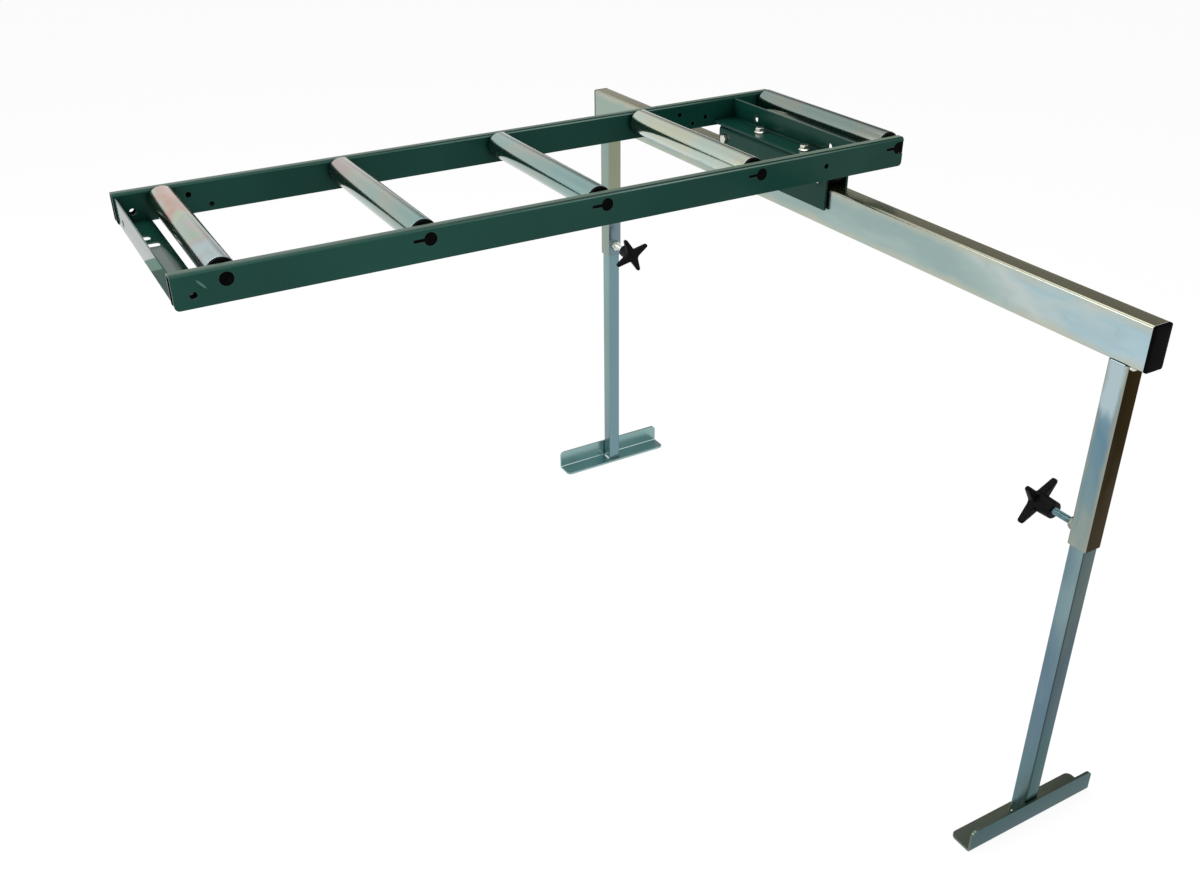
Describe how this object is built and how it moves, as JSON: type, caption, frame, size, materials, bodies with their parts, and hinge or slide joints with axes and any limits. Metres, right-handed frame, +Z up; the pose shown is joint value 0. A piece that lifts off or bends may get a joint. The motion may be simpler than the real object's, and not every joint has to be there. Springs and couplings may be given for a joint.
{
  "type": "roller table",
  "caption": "Roller feed table for a saw: steel rollers between folded side rails, carried by a carriage on a cross beam with telescopic legs and clamp knobs.",
  "frame": {"origin": "on the floor, in the middle of the bounding box", "axes": "+X along the table from the saw end to the stand, +Y along the rollers and the beam, +Z up"},
  "size_m": [1.103, 1.3, 0.89],
  "materials": {
    "green_paint": "gloss",
    "zinc_tube": "bright zinc plating",
    "bright_zinc": "bright zinc plating",
    "axle_steel": "drawn",
    "black_plastic": "satin"
  },
  "bodies": {
    "stand": {"beam_tube": "zinc_tube", "beam_end_cap_near": "black_plastic", "beam_end_cap_far": "black_plastic", "leg_socket_near": "zinc_tube", "leg_socket_far": "zinc_tube", "clamp_nut_near": "zinc_tube", "clamp_nut_far": "zinc_tube"},
    "table": {"front_side_rail": "green_paint", "rear_side_rail": "green_paint", "saw_end_plate": "green_paint", "cross_plate": "green_paint", "saddle_channel": "green_paint", "frame_bolt_near": "bright_zinc", "frame_bolt_far": "bright_zinc", "frame_nut_near": "bright_zinc", "frame_nut_far": "bright_zinc", "cross_bolt_near": "bright_zinc", "cross_bolt_far": "bright_zinc", "cross_nut_near": "bright_zinc", "cross_nut_far": "bright_zinc", "roller_1_axle": "axle_steel", "roller_1_bush_near": "black_plastic", "roller_1_bush_far": "black_plastic", "roller_2_axle": "axle_steel", "roller_2_bush_near": "black_plastic", "roller_2_bush_far": "black_plastic", "roller_3_axle": "axle_steel", "roller_3_bush_near": "black_plastic", "roller_3_bush_far": "black_plastic", "roller_4_axle": "axle_steel", "roller_4_bush_near": "black_plastic", "roller_4_bush_far": "black_plastic", "roller_5_axle": "axle_steel", "roller_5_bush_near": "black_plastic", "roller_5_bush_far": "black_plastic"},
    "roller_1": {"roller_1_tube": "zinc_tube", "roller_1_bearing_cap_near": "black_plastic", "roller_1_bearing_cap_far": "black_plastic"},
    "roller_2": {"roller_2_tube": "zinc_tube", "roller_2_bearing_cap_near": "black_plastic", "roller_2_bearing_cap_far": "black_plastic"},
    "roller_3": {"roller_3_tube": "zinc_tube", "roller_3_bearing_cap_near": "black_plastic", "roller_3_bearing_cap_far": "black_plastic"},
    "roller_4": {"roller_4_tube": "zinc_tube", "roller_4_bearing_cap_near": "black_plastic", "roller_4_bearing_cap_far": "black_plastic"},
    "roller_5": {"roller_5_tube": "zinc_tube", "roller_5_bearing_cap_near": "black_plastic", "roller_5_bearing_cap_far": "black_plastic"},
    "carriage_roller_near": {"carriage_roller_near": "black_plastic"},
    "leg_near": {"leg_tube_near": "zinc_tube", "foot_near": "zinc_tube"},
    "clamp_screw_near": {"clamp_stud_near": "bright_zinc"},
    "clamp_handle_near": {"star_knob_near": "black_plastic"},
    "carriage_roller_far": {"carriage_roller_far": "black_plastic"},
    "leg_far": {"leg_tube_far": "zinc_tube", "foot_far": "zinc_tube"},
    "clamp_screw_far": {"clamp_stud_far": "bright_zinc"},
    "clamp_handle_far": {"star_knob_far": "black_plastic"}
  },
  "joints": [
    {"name": "table_slide", "type": "slide", "parent": "stand", "child": "table", "axis": [0, 1, 0], "range_m": [-0.579, 0.431]},
    {"name": "roller_1_spin", "type": "hinge", "parent": "table", "child": "roller_1", "pos_m": [-0.489, 0.074, 0.871], "axis": [0, 1, 0], "continuous": true},
    {"name": "roller_2_spin", "type": "hinge", "parent": "table", "child": "roller_2", "pos_m": [-0.239, 0.074, 0.871], "axis": [0, 1, 0], "continuous": true},
    {"name": "roller_3_spin", "type": "hinge", "parent": "table", "child": "roller_3", "pos_m": [0.011, 0.074, 0.871], "axis": [0, 1, 0], "continuous": true},
    {"name": "roller_4_spin", "type": "hinge", "parent": "table", "child": "roller_4", "pos_m": [0.261, 0.074, 0.871], "axis": [0, 1, 0], "continuous": true},
    {"name": "roller_5_spin", "type": "hinge", "parent": "table", "child": "roller_5", "pos_m": [0.511, 0.074, 0.871], "axis": [0, 1, 0], "continuous": true},
    {"name": "carriage_roller_near_spin", "type": "hinge", "parent": "table", "child": "carriage_roller_near", "pos_m": [0.429, -0.0495, 0.8283], "axis": [1, 0, 0], "continuous": true},
    {"name": "carriage_roller_far_spin", "type": "hinge", "parent": "table", "child": "carriage_roller_far", "pos_m": [0.429, 0.1975, 0.8283], "axis": [1, 0, 0], "continuous": true},
    {"name": "leg_near_height", "type": "slide", "parent": "stand", "child": "leg_near", "axis": [0, 0, 1], "range_m": [-0.1, 0.095]},
    {"name": "clamp_screw_near_travel", "type": "slide", "parent": "stand", "child": "clamp_screw_near", "axis": [0, 1, 0], "range_m": [0, 0.006]},
    {"name": "clamp_handle_near_turn", "type": "hinge", "parent": "clamp_screw_near", "child": "clamp_handle_near", "pos_m": [0.429, -0.5285, 0.5105], "axis": [0, 1, 0], "range_deg": [0, 1460]},
    {"name": "leg_far_height", "type": "slide", "parent": "stand", "child": "leg_far", "axis": [0, 0, 1], "range_m": [-0.1, 0.095]},
    {"name": "clamp_screw_far_travel", "type": "slide", "parent": "stand", "child": "clamp_screw_far", "axis": [0, -1, 0], "range_m": [0, 0.006]},
    {"name": "clamp_handle_far_turn", "type": "hinge", "parent": "clamp_screw_far", "child": "clamp_handle_far", "pos_m": [0.429, 0.5285, 0.5105], "axis": [0, -1, 0], "range_deg": [0, 1460]}
  ],
  "couplings": [
    {"joint": "carriage_roller_near_spin", "follows": "table_slide", "rad_per_m": -76.923},
    {"joint": "clamp_handle_near_turn", "follows": "clamp_screw_near_travel", "rad_per_m": 4188.8},
    {"joint": "carriage_roller_far_spin", "follows": "table_slide", "rad_per_m": -76.923},
    {"joint": "clamp_handle_far_turn", "follows": "clamp_screw_far_travel", "rad_per_m": 4188.8}
  ]
}
